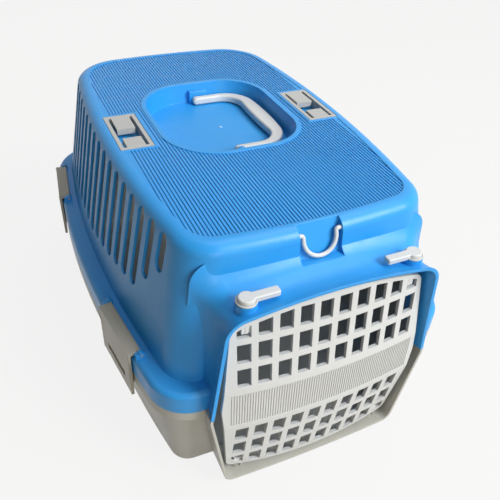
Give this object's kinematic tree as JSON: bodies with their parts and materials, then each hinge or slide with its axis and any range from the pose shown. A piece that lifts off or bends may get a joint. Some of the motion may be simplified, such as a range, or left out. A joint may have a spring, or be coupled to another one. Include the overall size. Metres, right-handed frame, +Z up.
{
  "type": "plastic pet carrier",
  "caption": "Hard plastic carrier for a small pet: domed vented top on a tray, grille door in a front collar, fold-flat handle, strap rings, belt guides and side clips.",
  "frame": {"origin": "middle of the overall box, at floor level", "axes": "+Z up, the door faces -Y, the length runs along Y, +X is the right side seen from the front"},
  "size_m": [0.342, 0.4859, 0.258],
  "materials": {
    "shell": "satin moulded blue",
    "tray": "satin moulded warm grey",
    "clip": "satin moulded warm grey",
    "trim": "satin moulded light grey"
  },
  "bodies": {
    "carrier": {"top_shell": "shell", "bottom_tray": "tray", "left_belt_guide": "trim", "right_belt_guide": "trim"},
    "door": {"door": "trim"},
    "left_lever": {"left_lever": "trim"},
    "right_lever": {"right_lever": "trim"},
    "carry_handle": {"carry_handle": "trim"},
    "front_strap_ring": {"front_strap_ring": "trim"},
    "rear_strap_ring": {"rear_strap_ring": "trim"},
    "front_left_clip": {"front_left_clip": "clip"},
    "front_right_clip": {"front_right_clip": "clip"},
    "rear_left_clip": {"rear_left_clip": "clip"},
    "rear_right_clip": {"rear_right_clip": "clip"}
  },
  "joints": [
    {"name": "door_hinge", "type": "hinge", "parent": "carrier", "child": "door", "pos_m": [-0.078, -0.2225, 0.11], "axis": [0, 0, -1], "range_deg": [0, 110]},
    {"name": "left_lever_turn", "type": "hinge", "parent": "carrier", "child": "left_lever", "pos_m": [-0.078, -0.2225, 0.2285], "axis": [0, 0, -1], "range_deg": [0, 90]},
    {"name": "right_lever_turn", "type": "hinge", "parent": "carrier", "child": "right_lever", "pos_m": [0.078, -0.2225, 0.2285], "axis": [0, 0, 1], "range_deg": [0, 90]},
    {"name": "handle_lift", "type": "hinge", "parent": "carrier", "child": "carry_handle", "pos_m": [0, 0.034, 0.2419], "axis": [0, -1, 0], "range_deg": [0, 180]},
    {"name": "front_ring_swing", "type": "hinge", "parent": "carrier", "child": "front_strap_ring", "pos_m": [0, -0.1925, 0.2505], "axis": [-1, 0, 0], "range_deg": [0, 120]},
    {"name": "rear_ring_swing", "type": "hinge", "parent": "carrier", "child": "rear_strap_ring", "pos_m": [0, 0.2195, 0.232], "axis": [1, 0, 0], "range_deg": [0, 120]},
    {"name": "front_left_clip_swing", "type": "hinge", "parent": "carrier", "child": "front_left_clip", "pos_m": [-0.15411, -0.12499, 0.1344], "axis": [-0.1265, 0.992, 0], "range_deg": [0, 100]},
    {"name": "rear_left_clip_swing", "type": "hinge", "parent": "carrier", "child": "rear_left_clip", "pos_m": [-0.1551, 0.14705, 0.1344], "axis": [0.1193, 0.9929, 0], "range_deg": [0, 100]},
    {"name": "front_right_clip_swing", "type": "hinge", "parent": "carrier", "child": "front_right_clip", "pos_m": [0.15411, -0.12499, 0.1344], "axis": [-0.1265, -0.992, 0], "range_deg": [0, 100]},
    {"name": "rear_right_clip_swing", "type": "hinge", "parent": "carrier", "child": "rear_right_clip", "pos_m": [0.1551, 0.14705, 0.1344], "axis": [0.1193, -0.9929, 0], "range_deg": [0, 100]}
  ]
}
